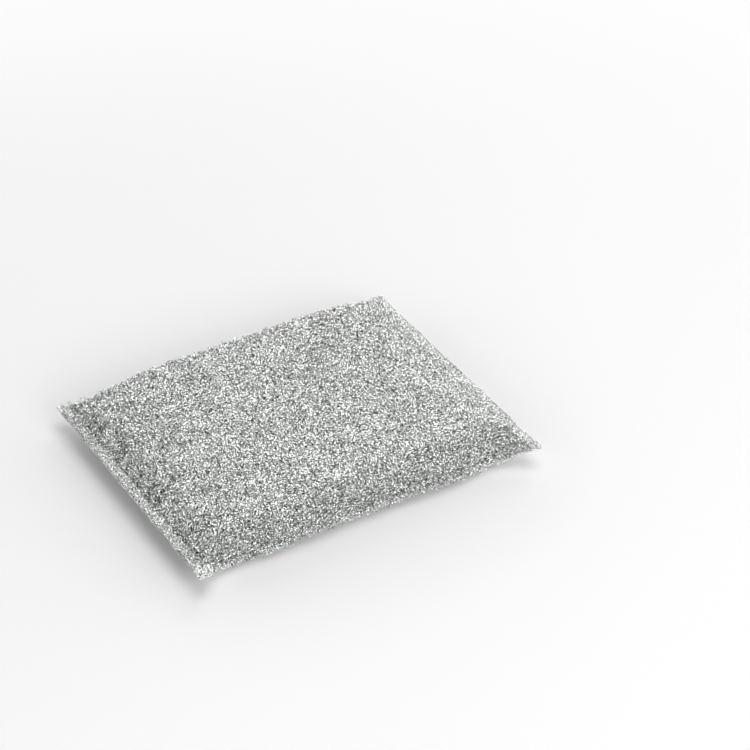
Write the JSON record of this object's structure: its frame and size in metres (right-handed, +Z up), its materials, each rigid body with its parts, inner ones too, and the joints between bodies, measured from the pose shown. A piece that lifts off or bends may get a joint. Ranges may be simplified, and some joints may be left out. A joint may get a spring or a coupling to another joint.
{
  "type": "scrub sponge",
  "caption": "Rectangular scouring pad: a foam slab in a knitted metallic sleeve, with its short ends pressed flat into fused hems.",
  "frame": {"origin": "on the resting face, under the middle of the pad", "axes": "+X along the pad from hem to hem, +Y across it, +Z up out of the top face"},
  "size_m": [0.12, 0.096, 0.019],
  "materials": {
    "metal_knit": "silver metallised yarn, knitted, with bright glints"
  },
  "bodies": {
    "root": {"scrub_pad": "metal_knit"}
  },
  "joints": []
}
